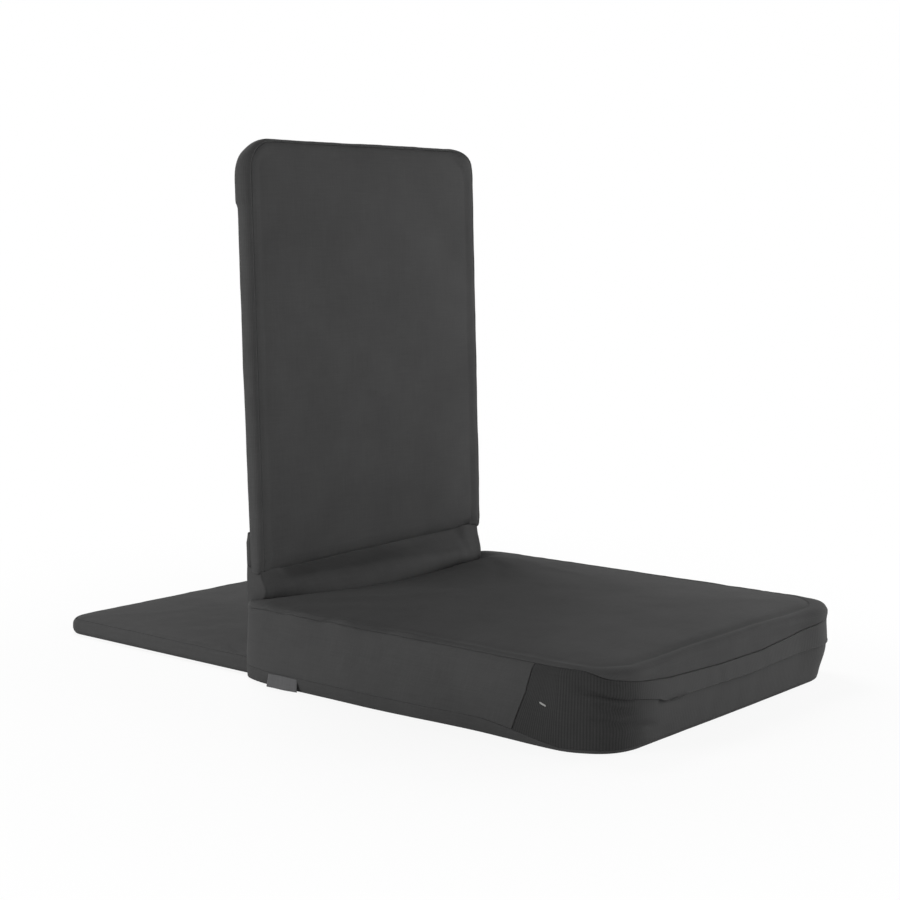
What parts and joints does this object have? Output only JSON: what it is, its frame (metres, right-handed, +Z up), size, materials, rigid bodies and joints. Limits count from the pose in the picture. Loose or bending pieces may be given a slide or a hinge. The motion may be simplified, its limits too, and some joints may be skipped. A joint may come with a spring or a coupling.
{
  "type": "folding floor chair",
  "caption": "Legless floor chair with a foam seat, a flat rear floor panel and an upright back that folds forward onto the seat, all in charcoal canvas.",
  "frame": {"origin": "on the floor, in the middle of the chair's outline", "axes": "+Z up; -Y towards the front of the seat, +Y along the chair to the rear floor panel; +X to the sitter's left"},
  "size_m": [0.4, 0.736, 0.5319],
  "materials": {
    "frame_tube": "black powder coat",
    "bracket_steel": "black powder coat",
    "pin_steel": "zinc plated",
    "nylon": "natural nylon",
    "foam": "open-cell foam",
    "canvas": "matte charcoal cotton canvas",
    "base_canvas": "matte charcoal cotton canvas",
    "ribbed_canvas": "finely ribbed charcoal cotton",
    "zip_tape": "woven zip tape",
    "zip_coil": "nylon coil",
    "zip_metal": "tumbled nickel plate",
    "light_thread": "light polyester thread",
    "woven_tab": "satin-woven grey tab, bare"
  },
  "bodies": {
    "base": {"base_front_bow": "frame_tube", "base_rear_bow": "frame_tube", "base_cross_tubes": "frame_tube", "frame_joiners": "frame_tube", "hinge_bracket_left": "bracket_steel", "hinge_bracket_right": "bracket_steel", "pivot_pins": "pin_steel", "pivot_washers": "nylon", "seat_foam": "foam", "floor_panel_pad": "foam", "seat_cover": "canvas", "rear_upright_cover": "canvas", "hinge_strip": "canvas", "floor_panel_cover": "canvas", "seat_base_band": "base_canvas", "underside_sheet": "base_canvas", "front_zip_panel": "ribbed_canvas", "zip_lap": "ribbed_canvas", "zip_tapes": "zip_tape", "zip_chain": "zip_coil", "zip_end_tack": "light_thread", "label_tab": "woven_tab"},
    "back": {"back_hoop": "frame_tube", "back_cross_tubes": "frame_tube", "back_leg_lugs": "bracket_steel", "pivot_bushes": "nylon", "back_front_pad": "foam", "back_rear_pad": "foam", "back_front_cover": "canvas", "back_side_gusset": "canvas", "back_rear_cover": "canvas"},
    "slider": {"zip_slider": "zip_metal", "zip_pull": "zip_metal"}
  },
  "joints": [
    {"name": "back_fold", "type": "hinge", "parent": "base", "child": "back", "pos_m": [0, 0.0795, 0.097], "axis": [1, 0, 0], "range_deg": [0, 92.5], "deforming": ["hinge_strip"]},
    {"name": "zip_travel", "type": "slide", "parent": "base", "child": "slider", "axis": [1, 0, 0], "range_m": [0, 0.275], "deforming": ["zip_chain"]}
  ]
}
